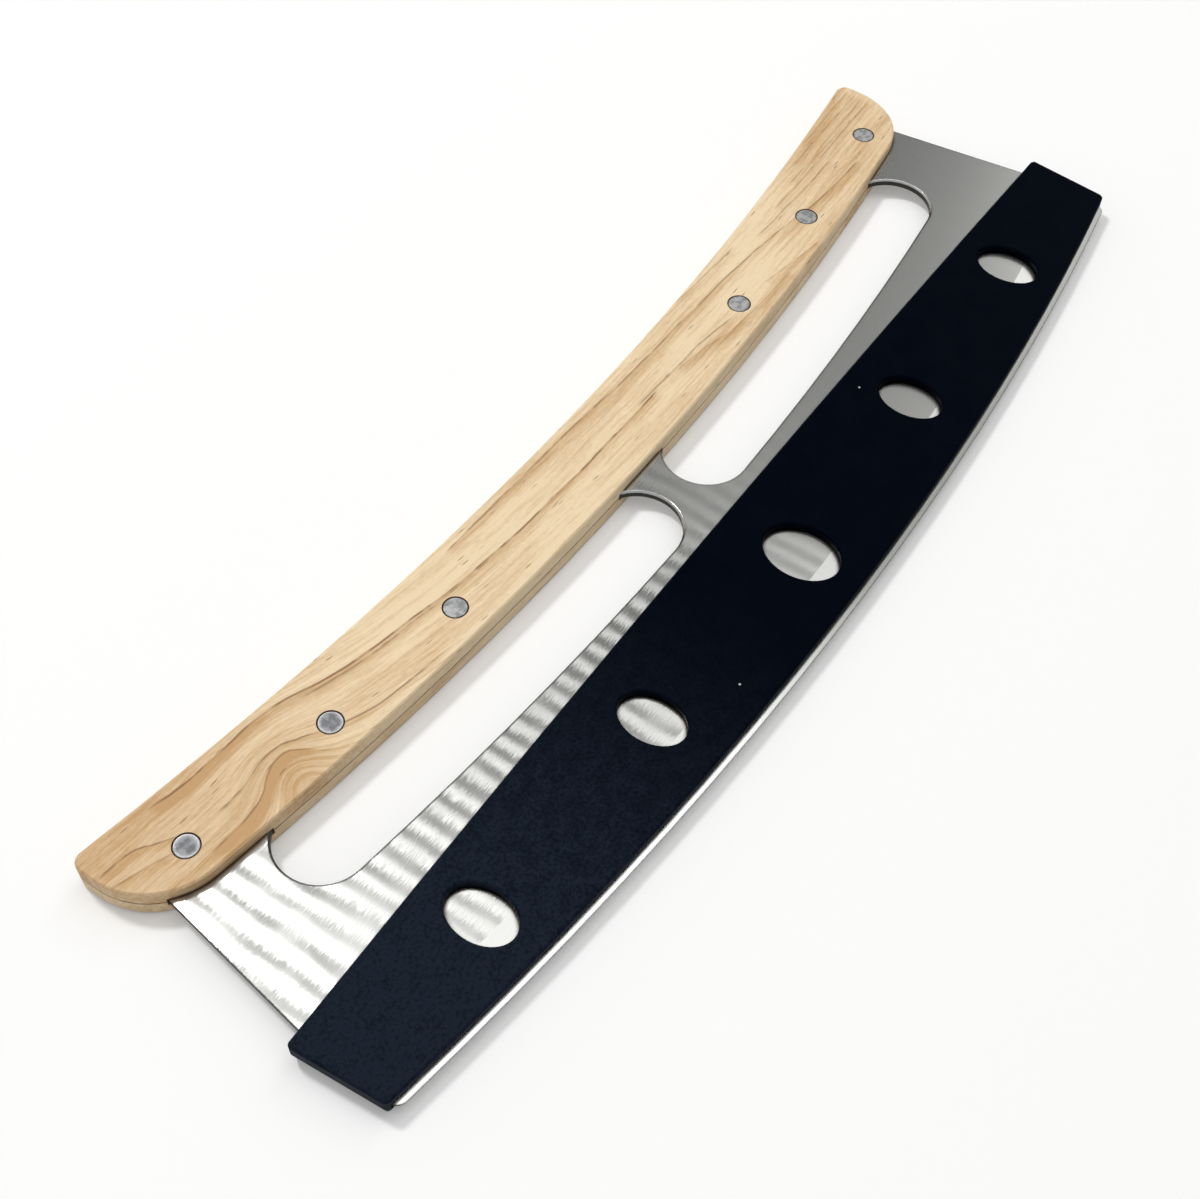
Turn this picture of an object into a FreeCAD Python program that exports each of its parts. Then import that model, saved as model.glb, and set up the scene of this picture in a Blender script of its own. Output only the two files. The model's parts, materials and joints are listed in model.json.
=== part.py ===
# Rocking pizza knife with a pull-off blade guard, in millimetres, +Z up.
# X runs along the knife, +Y from the cutting edge to the handle. The knife lies on its back face at z = 0.
# The sketches measure y from the lowest point of the cutting edge and z from the middle of the plate.
import FreeCAD, Part
import math
import os
import Sketcher

# Driving sizes
SIZES = {
    "overrun": 5.0,
    "snap": 0.05,
    # Steel plate
    "blade_thickness": 2.5,
    "blade_half_length": 171.6,
    "rock_radius": 1130.0,
    "shoulder_rise": 33.6,
    "shoulder_radius": 30.0,
    "toe_radius": 3.0,
    "edge_thickness": 0.2,
    "hone_width": 1.0,
    "hone_thickness": 0.7,
    "bevel_width": 13.5,
    "tang_inset": 7.0,
    "tang_corner_radius": 6.0,
    # Finger slots
    "slot_width": 23.9,
    "slot_overlap": 2.0,
    "slot_inner_end": 4.5,
    "slot_end_web": 27.0,
    "slot_rim_chamfer": 0.5,
    # Wooden handle
    "handle_setback": 0.2,
    "handle_thickness": 9.0,
    "handle_width": 25.0,
    "handle_back_rise": 93.55,
    "arch_radius": 1125.0,
    "handle_end_flat": 1.4,
    "handle_tip_radius": 3.0,
    "handle_edge_chamfer": 0.45,
    "seam_gap": 0.3,
    "tang_end_cover": 9.2,
    "recess_clearance": 0.3,
    # Rivets
    "rivet_radius": 3.3,
    "rivet_clearance": 0.1,
    "rivet_chamfer": 0.35,
    "rivet_palm_inset": 9.1,
    "rivet_end_inset": 18.2,
    "rivet_pitch": 43.5,
    # Guard
    "guard_leaf": 2.0,
    "guard_clearance": 0.3,
    "guard_end_wall": 1.2,
    "guard_end_flare": 2.3,
    "guard_corner_radius": 1.8,
    "guard_back_corner_radius": 1.2,
    "guard_edge_chamfer": 0.5,
    "guard_draft_inset": 0.8,
    "guard_draft_height": 3.2,
    "window_rim_chamfer": 0.5,
    "guard_reveal": 1.4,
    "guard_end_rise": 39.9,
    "guard_crown": 1.9,
    "window_pitch": 64.0,
    "window_half_width": 6.65,
    "window_half_height": 9.25,
    "middle_window_half_width": 8.2,
    "middle_window_half_height": 10.65,
    "middle_window_drop": 2.5,
}
SIDES = (-1, 1)
REAR, FRONT = SIDES
RIVETS_PER_SIDE = 3
WINDOWS_PER_SIDE = 2
UP = FreeCAD.Vector(0, 0, 1)
QUARTER_TURN = math.pi / 2
Y_AXIS, X_AXIS = range(-2, 0)
START, END, CENTRE = range(1, 4)


def arc_drop(radius, x):
    """Depth below its centre of a circle's lower half at distance x from the axis."""
    return math.sqrt(radius * radius - x * x)


def derive(size):
    """Sizes that follow from the driving ones, so that pieces which fit share the same values."""
    size["handle_half_length"] = size["blade_half_length"] - size["handle_setback"]
    size["handle_palm_radius"] = size["handle_width"] - size["handle_tip_radius"] - size["handle_end_flat"]
    size["tang_half_length"] = size["handle_half_length"] - size["tang_end_cover"]
    size["slot_outer_end"] = size["blade_half_length"] - size["slot_end_web"]
    size["arch_centre"] = size["handle_back_rise"] + size["arch_radius"]
    size["palm_radius"] = size["arch_radius"] + size["handle_width"]
    size["tang_radius"] = size["arch_radius"] + size["tang_inset"]
    size["rivet_line_radius"] = size["palm_radius"] - size["rivet_palm_inset"]
    size["slot_top_radius"] = size["palm_radius"] - size["slot_overlap"]
    size["slot_bottom_radius"] = size["slot_top_radius"] + size["slot_width"]
    size["slot_inner_centre"] = size["slot_inner_end"] + size["slot_width"] / 2
    size["slot_outer_centre"] = size["slot_outer_end"] - size["slot_width"] / 2
    size["seam_half"] = size["seam_gap"] / 2
    size["scale_depth"] = (size["handle_thickness"] - size["seam_gap"]) / 2
    size["recess_depth"] = (size["blade_thickness"] - size["seam_gap"]) / 2
    size["recess_radius"] = size["tang_radius"] - size["recess_clearance"]
    size["recess_top_half"] = size["tang_half_length"] + size["recess_clearance"]
    size["recess_low_half"] = size["blade_half_length"] + size["recess_clearance"]
    size["rivet_hole_radius"] = size["rivet_radius"] + size["rivet_clearance"]
    size["channel_height"] = size["blade_thickness"] + 2 * size["guard_clearance"]
    size["channel_half_length"] = size["blade_half_length"] + size["guard_clearance"]
    size["guard_thickness"] = size["channel_height"] + 2 * size["guard_leaf"]
    size["guard_lower_half"] = size["channel_half_length"] + size["guard_end_wall"]
    size["guard_upper_half"] = size["guard_lower_half"] + size["guard_end_flare"]
    size["guard_lower_radius"] = size["rock_radius"] - size["guard_reveal"]
    spread = size["guard_upper_half"] ** 2 + size["guard_crown"] ** 2
    size["guard_crown_radius"] = spread / (2 * size["guard_crown"])
    size["guard_back_rise"] = size["guard_end_rise"] + size["guard_crown"]
    size["crown_depth"] = size["guard_crown_radius"] - size["guard_back_rise"]
    tip_x = size["handle_half_length"] - size["handle_tip_radius"]
    tip_y = size["arch_centre"] - arc_drop(size["arch_radius"] + size["handle_tip_radius"], tip_x)
    size["frame_shift"] = -(tip_y + size["handle_tip_radius"]) / 2
    size["lie_height"] = size["handle_thickness"] / 2
    return size


def rivet_spots(size):
    """Rivet centres along the arched handle, left to right."""
    last = size["handle_half_length"] - size["rivet_end_inset"]
    steps = [last - k * size["rivet_pitch"] for k in range(RIVETS_PER_SIDE)]
    columns = sorted(side * step for side in SIDES for step in steps)
    return [(x, size["arch_centre"] - arc_drop(size["rivet_line_radius"], x)) for x in columns]


def window_spots(size):
    """Centre of each oval window, halfway up the guard at its own column, and the name of its sizes."""
    spots = []
    for step in range(-WINDOWS_PER_SIDE, WINDOWS_PER_SIDE + 1):
        x = step * size["window_pitch"]
        low = size["rock_radius"] - arc_drop(size["guard_lower_radius"], x)
        high = arc_drop(size["guard_crown_radius"], x) - size["crown_depth"]
        if step == 0:
            spots.append((x, (low + high) / 2 - size["middle_window_drop"], "middle_window"))
        else:
            spots.append((x, (low + high) / 2, "window"))
    return spots


size = derive(dict(SIZES))
rivets = rivet_spots(size)
windows = window_spots(size)
cells = dict(size)
for number, (x, y) in enumerate(rivets, 1):
    cells["rivet_%d_along" % number] = x
    cells["rivet_%d_across" % number] = y
for number, (x, y, kind) in enumerate(windows, 1):
    cells["window_%d_along" % number] = x
    cells["window_%d_across" % number] = y

document = FreeCAD.newDocument("RockingPizzaKnife")
sheet = document.addObject("Spreadsheet::Sheet", "Sizes")
for row, (alias, value) in enumerate(cells.items(), 1):
    sheet.set("A%d" % row, alias)
    sheet.set("B%d" % row, repr(float(value)))
    sheet.setAlias("B%d" % row, alias)
document.recompute()


# Sketches
def point(x, y):
    return FreeCAD.Vector(x, y, 0)


def new_body(label):
    body = document.addObject("PartDesign::Body", label)
    body.Label = label
    body.setExpression("Placement.Base.y", "Sizes.frame_shift")
    body.setExpression("Placement.Base.z", "Sizes.lie_height")
    return body


def new_sketch(body, name, role="XY_Plane"):
    sketch = body.newObject("Sketcher::SketchObject", name)
    plane = [feature for feature in body.Origin.OriginFeatures if feature.Role == role][0]
    sketch.AttachmentSupport = [(plane, "")]
    sketch.MapMode = "FlatFace"
    return sketch


def bind(sketch, expression, *constraint):
    """Adds a dimension to a sketch and ties it to the sheet."""
    index = sketch.addConstraint(Sketcher.Constraint(*constraint))
    sketch.setExpression("Constraints[%d]" % index, expression)


def hold_x(sketch, expression, curve, end, x):
    """Fixes the X of a point of a curve; left points are measured leftwards, so distances are positive."""
    if x == 0:
        sketch.addConstraint(Sketcher.Constraint("PointOnObject", curve, end, Y_AXIS))
    elif x < 0:
        bind(sketch, expression, "DistanceX", curve, end, X_AXIS, START, -x)
    else:
        bind(sketch, expression, "DistanceX", X_AXIS, START, curve, end, x)


def hold_y(sketch, expression, curve, end, y):
    """Fixes the Y of a point of a curve in the same way."""
    if y < 0:
        bind(sketch, expression, "DistanceY", curve, end, X_AXIS, START, -y)
    else:
        bind(sketch, expression, "DistanceY", X_AXIS, START, curve, end, y)


def join(sketch, first, first_end, second, second_end):
    sketch.addConstraint(Sketcher.Constraint("Coincident", first, first_end, second, second_end))


def line(sketch, first, last):
    return sketch.addGeometry(Part.LineSegment(point(*first), point(*last)))


def hanging_arc(sketch, radius, centre, left, right):
    """Lower part of a circle centred on the Y axis, drawn from its left end to its right end."""
    circle = Part.Circle(point(0, centre), UP, radius)
    first = math.asin(left / radius) - QUARTER_TURN
    last = math.asin(right / radius) - QUARTER_TURN
    return sketch.addGeometry(Part.ArcOfCircle(circle, first, last))


def hold_arc(sketch, arc, radius, centre):
    """Fixes an arc's radius and its centre on the Y axis."""
    curve = sketch.Geometry[arc]
    hold_x(sketch, "0", arc, CENTRE, 0)
    hold_y(sketch, centre, arc, CENTRE, curve.Center.y)
    bind(sketch, radius, "Radius", arc, curve.Radius)


def slot_outline(sketch, side, shrink, shrink_expression):
    """One curved finger slot with round ends, made smaller all round by the given margin."""
    centre = size["arch_centre"]
    top = size["slot_top_radius"] + shrink
    bottom = size["slot_bottom_radius"] - shrink
    middle = (top + bottom) / 2
    names = ["slot_inner_centre", "slot_outer_centre"][::side]
    columns = [side * size[name] for name in names]
    tilts = [math.asin(column / middle) for column in columns]
    upper, lower = [hanging_arc(sketch, radius, centre, *(radius * math.sin(tilt) for tilt in tilts))
                    for radius in (top, bottom)]
    caps = []
    for column, tilt, turn in zip(columns, tilts, (QUARTER_TURN, -QUARTER_TURN)):
        circle = Part.Circle(point(column, centre - arc_drop(middle, column)), UP, (bottom - top) / 2)
        caps.append(sketch.addGeometry(Part.ArcOfCircle(circle, tilt + turn, tilt + turn + math.pi)))
    left, right = caps
    for ends in ((upper, START, left, START), (left, END, lower, START),
                 (lower, END, right, START), (right, END, upper, END)):
        sketch.addConstraint(Sketcher.Constraint("Tangent", *ends))
    hold_arc(sketch, upper, "Sizes.slot_top_radius + " + shrink_expression, "Sizes.arch_centre")
    join(sketch, lower, CENTRE, upper, CENTRE)
    bind(sketch, "Sizes.slot_bottom_radius - " + shrink_expression, "Radius", lower, bottom)
    for cap, column, name in zip(caps, columns, names):
        hold_x(sketch, "Sizes." + name, cap, CENTRE, column)


def rivet_holes(sketch):
    """Round holes where the rivets pass."""
    for number, (x, y) in enumerate(rivets, 1):
        hole = sketch.addGeometry(Part.Circle(point(x, y), UP, size["rivet_hole_radius"]))
        bind(sketch, "Sizes.rivet_hole_radius", "Radius", hole, size["rivet_hole_radius"])
        hold_x(sketch, "abs(Sizes.rivet_%d_along)" % number, hole, CENTRE, x)
        hold_y(sketch, "Sizes.rivet_%d_across" % number, hole, CENTRE, y)


# Features
def volume_of(body):
    return body.Shape.Volume if body.Tip else 0


def settle(feature, before):
    """Works out a feature; one that leaves the volume unchanged is a fault."""
    document.recompute()
    if abs(feature.Shape.Volume - before) < size["snap"] ** 3:
        raise RuntimeError(feature.Label + " changes nothing")
    return feature


def sweep(body, kind, name, sketch, length, middle=True, backward=False):
    """Pad or pocket of a sketch."""
    before = volume_of(body)
    feature = body.newObject("PartDesign::" + kind, name)
    feature.Profile = sketch
    feature.setExpression("Length", length)
    feature.Midplane = middle
    feature.Reversed = backward
    return settle(feature, before)


def dress(body, kind, name, base, wanted, alias, side_alias=None):
    """Fillet or chamfer, of sizes from the sheet, on the edges of a feature that pass a test."""
    before = volume_of(body)
    edges = ["Edge%d" % number for number, edge in enumerate(base.Shape.Edges, 1) if wanted(edge)]
    feature = body.newObject("PartDesign::" + kind, name)
    feature.Base = (base, edges)
    feature.setExpression("Radius" if kind == "Fillet" else "Size", "Sizes." + alias)
    if side_alias:
        feature.ChamferType = "Two distances"
        feature.setExpression("Size2", "Sizes." + side_alias)
    return settle(feature, before)


def upright_at(spots):
    """Test for upright edges that stand at one of the given plan points."""
    def wanted(edge):
        ends = [vertex.Point for vertex in edge.Vertexes]
        if len(ends) < 2 or ends[0].sub(ends[1]).cross(UP).Length > size["snap"]:
            return False
        foot = point(ends[0].x, ends[0].y)
        return any(foot.distanceToPoint(point(*spot)) < size["snap"] for spot in spots)
    return wanted


def level_at(*heights):
    """Test for edges that lie flat at one of the given heights."""
    def wanted(edge):
        box = edge.BoundBox
        return any(max(abs(box.ZMin - height), abs(box.ZMax - height)) < size["snap"] for height in heights)
    return wanted


def faces_of(thickness):
    """Heights of the two faces of a piece that is centred on the plate."""
    return [side * size[thickness] / 2 for side in SIDES]


# Steel plate
def blade_outline(sketch):
    """Cutting edge, upright ends, flared sides and the arched back of the tang."""
    half = size["blade_half_length"]
    tang_half = size["tang_half_length"]
    rise = size["shoulder_rise"]
    tang_end = size["arch_centre"] - arc_drop(size["tang_radius"], tang_half)
    toe = size["rock_radius"] - arc_drop(size["rock_radius"], half)
    back = hanging_arc(sketch, size["tang_radius"], size["arch_centre"], -tang_half, tang_half)
    edge = hanging_arc(sketch, size["rock_radius"], size["rock_radius"], -half, half)
    hold_arc(sketch, back, "Sizes.tang_radius", "Sizes.arch_centre")
    hold_arc(sketch, edge, "Sizes.rock_radius", "Sizes.rock_radius")
    for side, end in zip(SIDES, (START, END)):
        flare = line(sketch, (side * tang_half, tang_end), (side * half, rise))
        upright = line(sketch, (side * half, rise), (side * half, toe))
        join(sketch, back, end, flare, START)
        join(sketch, flare, END, upright, START)
        join(sketch, upright, END, edge, end)
        sketch.addConstraint(Sketcher.Constraint("Vertical", upright))
        hold_x(sketch, "Sizes.tang_half_length", flare, START, side * tang_half)
        hold_x(sketch, "Sizes.blade_half_length", flare, END, side * half)
        hold_y(sketch, "Sizes.shoulder_rise", flare, END, rise)
    corners = {
        "tang_corner_radius": (tang_half, tang_end),
        "shoulder_radius": (half, rise),
        "toe_radius": (half, toe),
    }
    return {name: [(side * x, y) for side in SIDES] for name, (x, y) in corners.items()}


def bevel_outline(sketch, face):
    """Metal ground off one face, a long bevel and a short hone, and the line that the cut turns about."""
    over = size["overrun"]
    full = size["blade_thickness"] / 2
    spots = [
        (0, size["edge_thickness"] / 2, "0", "Sizes.edge_thickness / 2"),
        (size["hone_width"], size["hone_thickness"] / 2, "Sizes.hone_width", "Sizes.hone_thickness / 2"),
        (size["bevel_width"], full, "Sizes.bevel_width", "Sizes.blade_thickness / 2"),
        (-over, full + over, "Sizes.overrun", "Sizes.blade_thickness / 2 + Sizes.overrun"),
        (-over, size["edge_thickness"] / 2, "Sizes.overrun", "Sizes.edge_thickness / 2"),
    ]
    corners = [(x, face * y) for x, y, along, up in spots]
    lines = [line(sketch, corners[k], corners[k - 1]) for k in range(len(corners))]
    for k, (x, y, along, up) in enumerate(spots):
        join(sketch, lines[k - 1], START, lines[k], END)
        hold_x(sketch, along, lines[k], START, x)
        hold_y(sketch, up, lines[k], START, face * y)
    axis = line(sketch, (size["rock_radius"], 0), (size["rock_radius"], over))
    sketch.setConstruction(axis, True)
    sketch.addConstraint(Sketcher.Constraint("Vertical", axis))
    sketch.addConstraint(Sketcher.Constraint("PointOnObject", axis, START, X_AXIS))
    hold_x(sketch, "Sizes.rock_radius", axis, START, size["rock_radius"])
    hold_y(sketch, "Sizes.overrun", axis, END, over)


def is_slot_rim(edge):
    """Tells the edges round the finger slots, on both faces, from the plate's own outline."""
    middle = edge.valueAt((edge.FirstParameter + edge.LastParameter) / 2)
    reach = math.hypot(middle.x, middle.y - size["arch_centre"])
    band = (size["slot_top_radius"] - size["snap"], size["slot_bottom_radius"] + size["snap"])
    in_slot = band[0] < reach < band[1] and abs(middle.x) < size["slot_outer_end"] + size["snap"]
    return in_slot and level_at(*faces_of("blade_thickness"))(edge)


def make_blade():
    body = new_body("blade")
    outline = new_sketch(body, "BladeOutline")
    corners = blade_outline(outline)
    feature = sweep(body, "Pad", "Plate", outline, "Sizes.blade_thickness")
    for radius, spots in corners.items():
        feature = dress(body, "Fillet", "Plate_" + radius, feature, upright_at(spots), radius)
    slots = new_sketch(body, "SlotOutline")
    for side in SIDES:
        slot_outline(slots, side, 0, "0")
    feature = sweep(body, "Pocket", "FingerSlots", slots, "Sizes.blade_thickness + Sizes.overrun")
    dress(body, "Chamfer", "SlotRims", feature, is_slot_rim, "slot_rim_chamfer")
    for face in SIDES:
        section = new_sketch(body, "BevelSection", "YZ_Plane")
        bevel_outline(section, face)
        before = volume_of(body)
        groove = body.newObject("PartDesign::Groove", "Bevel")
        groove.Profile = section
        groove.ReferenceAxis = (section, ["Axis0"])
        settle(groove, before)
    holes = new_sketch(body, "RivetHoles")
    rivet_holes(holes)
    sweep(body, "Pocket", "TangHoles", holes, "Sizes.blade_thickness + Sizes.overrun")
    return body


# Wooden handle scales
def handle_outline(sketch):
    """Arched back, upright ends and arched palm side of the handle."""
    half = size["handle_half_length"]
    back_end = size["arch_centre"] - arc_drop(size["arch_radius"], half)
    palm_end = size["arch_centre"] - arc_drop(size["palm_radius"], half)
    back = hanging_arc(sketch, size["arch_radius"], size["arch_centre"], -half, half)
    palm = hanging_arc(sketch, size["palm_radius"], size["arch_centre"], -half, half)
    hold_arc(sketch, back, "Sizes.arch_radius", "Sizes.arch_centre")
    hold_arc(sketch, palm, "Sizes.palm_radius", "Sizes.arch_centre")
    for side, end in zip(SIDES, (START, END)):
        upright = line(sketch, (side * half, back_end), (side * half, palm_end))
        join(sketch, back, end, upright, START)
        join(sketch, upright, END, palm, end)
        sketch.addConstraint(Sketcher.Constraint("Vertical", upright))
        hold_x(sketch, "Sizes.handle_half_length", upright, START, side * half)
    heights = {"handle_tip_radius": back_end, "handle_palm_radius": palm_end}
    return {name: [(side * half, y) for side in SIDES] for name, y in heights.items()}


def recess_outline(sketch):
    """Room for the plate: its own outline with a clearance, less the lips that close the finger slots."""
    top_half = size["recess_top_half"]
    low_half = size["recess_low_half"]
    rise = size["shoulder_rise"]
    low = -size["overrun"]
    top_end = size["arch_centre"] - arc_drop(size["recess_radius"], top_half)
    back = hanging_arc(sketch, size["recess_radius"], size["arch_centre"], -top_half, top_half)
    hold_arc(sketch, back, "Sizes.recess_radius", "Sizes.arch_centre")
    base = line(sketch, (-low_half, low), (low_half, low))
    hold_y(sketch, "Sizes.overrun", base, START, low)
    sketch.addConstraint(Sketcher.Constraint("Horizontal", base))
    for side, end in zip(SIDES, (START, END)):
        flare = line(sketch, (side * top_half, top_end), (side * low_half, rise))
        upright = line(sketch, (side * low_half, rise), (side * low_half, low))
        join(sketch, back, end, flare, START)
        join(sketch, flare, END, upright, START)
        join(sketch, upright, END, base, end)
        sketch.addConstraint(Sketcher.Constraint("Vertical", upright))
        hold_x(sketch, "Sizes.recess_top_half", flare, START, side * top_half)
        hold_x(sketch, "Sizes.recess_low_half", flare, END, side * low_half)
        hold_y(sketch, "Sizes.shoulder_rise", flare, END, rise)
        slot_outline(sketch, side, size["recess_clearance"], "Sizes.recess_clearance")


def make_scale(label, face):
    body = new_body(label)
    sign = "" if face == FRONT else "-"
    outline = new_sketch(body, "ScaleOutline")
    corners = handle_outline(outline)
    recess = new_sketch(body, "TangRecess")
    recess_outline(recess)
    holes = new_sketch(body, "RivetHoles")
    rivet_holes(holes)
    for sketch in (outline, recess):
        sketch.setExpression("AttachmentOffset.Base.z", sign + "Sizes.seam_half")
    feature = sweep(body, "Pad", "Scale", outline, "Sizes.scale_depth", False, face == REAR)
    for radius, spots in corners.items():
        feature = dress(body, "Fillet", "Scale_" + radius, feature, upright_at(spots), radius)
    outer = level_at(face * size["handle_thickness"] / 2)
    dress(body, "Chamfer", "EasedEdge", feature, outer, "handle_edge_chamfer")
    sweep(body, "Pocket", "Recess", recess, "Sizes.recess_depth", False, face == FRONT)
    sweep(body, "Pocket", "ScaleHoles", holes, "Sizes.handle_thickness + Sizes.overrun")
    return body


# Rivets
def make_rivet(number):
    body = new_body("rivet_%d" % number)
    body.setExpression("Placement.Base.x", "Sizes.rivet_%d_along" % number)
    body.setExpression("Placement.Base.y", "Sizes.rivet_%d_across + Sizes.frame_shift" % number)
    section = new_sketch(body, "RivetSection")
    circle = section.addGeometry(Part.Circle(point(0, 0), UP, size["rivet_radius"]))
    join(section, circle, CENTRE, X_AXIS, START)
    bind(section, "Sizes.rivet_radius", "Radius", circle, size["rivet_radius"])
    shank = sweep(body, "Pad", "Shank", section, "Sizes.handle_thickness")
    ends = level_at(*faces_of("handle_thickness"))
    dress(body, "Chamfer", "PeenedEnds", shank, ends, "rivet_chamfer")
    return body


# Guard
def guard_outline(sketch):
    """Curved lower edge, flared ends and slightly crowned back of the guard."""
    low_half = size["guard_lower_half"]
    top_half = size["guard_upper_half"]
    low_end = size["rock_radius"] - arc_drop(size["guard_lower_radius"], low_half)
    lower = hanging_arc(sketch, size["guard_lower_radius"], size["rock_radius"], -low_half, low_half)
    hold_arc(sketch, lower, "Sizes.guard_lower_radius", "Sizes.rock_radius")
    circle = Part.Circle(point(0, -size["crown_depth"]), UP, size["guard_crown_radius"])
    spread = math.asin(top_half / size["guard_crown_radius"])
    crown = sketch.addGeometry(Part.ArcOfCircle(circle, QUARTER_TURN - spread, QUARTER_TURN + spread))
    hold_arc(sketch, crown, "Sizes.guard_crown_radius", "Sizes.crown_depth")
    for side, low_point, top_point in zip(SIDES, (START, END), (END, START)):
        wall = line(sketch, (side * low_half, low_end), (side * top_half, size["guard_end_rise"]))
        join(sketch, lower, low_point, wall, START)
        join(sketch, wall, END, crown, top_point)
        hold_x(sketch, "Sizes.guard_lower_half", wall, START, side * low_half)
        hold_x(sketch, "Sizes.guard_upper_half", wall, END, side * top_half)
    corners = {
        "guard_corner_radius": (low_half, low_end),
        "guard_back_corner_radius": (top_half, size["guard_end_rise"]),
    }
    return {name: [(side * x, y) for side in SIDES] for name, (x, y) in corners.items()}


def channel_outline(sketch):
    """Straight channel for the plate, open at the guard's back and along the cutting edge."""
    half = size["channel_half_length"]
    low = -size["overrun"]
    high = size["guard_back_rise"] + size["overrun"]
    spots = [(-half, low), (half, low), (half, high), (-half, high)]
    names = ["Sizes.overrun", "Sizes.overrun", "Sizes.guard_back_rise + Sizes.overrun",
             "Sizes.guard_back_rise + Sizes.overrun"]
    lines = [line(sketch, spots[k - 1], spots[k]) for k in range(len(spots))]
    for k, (x, y) in enumerate(spots):
        join(sketch, lines[k - 1], END, lines[k], START)
        hold_x(sketch, "Sizes.channel_half_length", lines[k], END, x)
        hold_y(sketch, names[k], lines[k], END, y)


def window_outline(sketch):
    """Upright oval windows; their long axes are held by the ellipses' own axis lines."""
    for number, (x, y, kind) in enumerate(windows, 1):
        tall = size[kind + "_half_height"]
        wide = size[kind + "_half_width"]
        oval = sketch.addGeometry(Part.Ellipse(point(x, y + tall), point(x + wide, y), point(x, y)))
        sketch.exposeInternalGeometry(oval)
        long_axis, short_axis = oval + 1, oval + 2
        sketch.addConstraint(Sketcher.Constraint("Vertical", long_axis))
        bind(sketch, "2 * Sizes.%s_half_height" % kind, "Distance", long_axis, 2 * tall)
        bind(sketch, "2 * Sizes.%s_half_width" % kind, "Distance", short_axis, 2 * wide)
        hold_x(sketch, "abs(Sizes.window_%d_along)" % number, oval, CENTRE, x)
        hold_y(sketch, "Sizes.window_%d_across" % number, oval, CENTRE, y)


def make_guard():
    body = new_body("blade_guard")
    outline = new_sketch(body, "GuardOutline")
    corners = guard_outline(outline)
    back, front = faces_of("guard_thickness")
    on_face = level_at(back, front)
    feature = sweep(body, "Pad", "Leaves", outline, "Sizes.guard_thickness")
    for radius, spots in corners.items():
        feature = dress(body, "Fillet", "Leaves_" + radius, feature, upright_at(spots), radius)
    feature = dress(body, "Chamfer", "EasedFront", feature, level_at(front), "guard_edge_chamfer")

    def is_crown_edge(edge):
        """The draft runs on from this edge all round the rounded outline."""
        return level_at(back)(edge) and edge.BoundBox.YMax > size["guard_back_rise"] - size["snap"]

    dress(body, "Chamfer", "DraftedBack", feature, is_crown_edge, "guard_draft_inset", "guard_draft_height")
    ovals = new_sketch(body, "WindowOutline")
    window_outline(ovals)
    feature = sweep(body, "Pocket", "Windows", ovals, "Sizes.guard_thickness + Sizes.overrun")

    def is_window_rim(edge):
        return edge.isClosed() and on_face(edge)

    dress(body, "Chamfer", "WindowRims", feature, is_window_rim, "window_rim_chamfer")
    channel = new_sketch(body, "ChannelOutline")
    channel_outline(channel)
    sweep(body, "Pocket", "Channel", channel, "Sizes.channel_height")
    return body


pieces = [make_blade(), make_scale("front_handle_scale", FRONT), make_scale("rear_handle_scale", REAR)]
pieces += [make_rivet(number) for number in range(1, len(rivets) + 1)]
pieces.append(make_guard())
document.recompute()

# Every object must be sound before the pieces are written
for item in document.Objects:
    if "Invalid" in item.State or "Error" in item.State:
        raise RuntimeError(item.Name + " is not sound")
    if item.TypeId == "Sketcher::SketchObject" and not item.FullyConstrained:
        raise RuntimeError(item.Name + " is not fully held")
os.makedirs("parts", exist_ok=True)
for piece in pieces:
    if piece.Shape.isNull() or not piece.Shape.isValid() or len(piece.Shape.Solids) != 1:
        raise RuntimeError(piece.Label + " is not one sound solid")
    piece.Shape.exportStep("parts/%s.step" % piece.Label)
    box = piece.Shape.BoundBox
    print(piece.Label, round(piece.Shape.Volume), [round(v, 2) for v in
          (box.XMin, box.XMax, box.YMin, box.YMax, box.ZMin, box.ZMax)])
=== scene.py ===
# Looks of the rocking pizza knife: steel, wood, rivets and guard, on a pale table.
# Lengths are in metres unless a comment says millimetres.
import json
import math

import bpy
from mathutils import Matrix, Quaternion, Vector


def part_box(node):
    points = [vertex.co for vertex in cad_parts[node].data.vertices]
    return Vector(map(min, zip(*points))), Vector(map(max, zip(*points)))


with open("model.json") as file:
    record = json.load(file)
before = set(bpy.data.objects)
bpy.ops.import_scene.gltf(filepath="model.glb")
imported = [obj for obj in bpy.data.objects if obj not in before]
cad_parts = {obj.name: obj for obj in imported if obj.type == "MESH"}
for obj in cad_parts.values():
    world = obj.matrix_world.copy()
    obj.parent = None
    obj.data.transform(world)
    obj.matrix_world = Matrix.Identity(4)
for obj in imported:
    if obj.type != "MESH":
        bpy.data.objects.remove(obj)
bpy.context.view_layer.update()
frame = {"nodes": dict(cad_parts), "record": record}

MILLIMETRE = 0.001
WHITE = (1.0, 1.0, 1.0, 1.0)
UP = (0.0, 0.0, 1.0)

# Camera, as worked out from the photograph, with its lens and sensor in millimetres
CAMERA_PLACE = Vector((-0.250663, -0.136335, 0.345971))
CAMERA_TARGET = Vector((-0.040559, 0.000639, 0.0045))
CAMERA_AXIS = (0.0, 0.0, 1.0)
CAMERA_ROLL = math.radians(2.118)
CAMERA_LENS = 50.459
CAMERA_SENSOR = 36.0
CAMERA_NEAREST = 0.01

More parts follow.
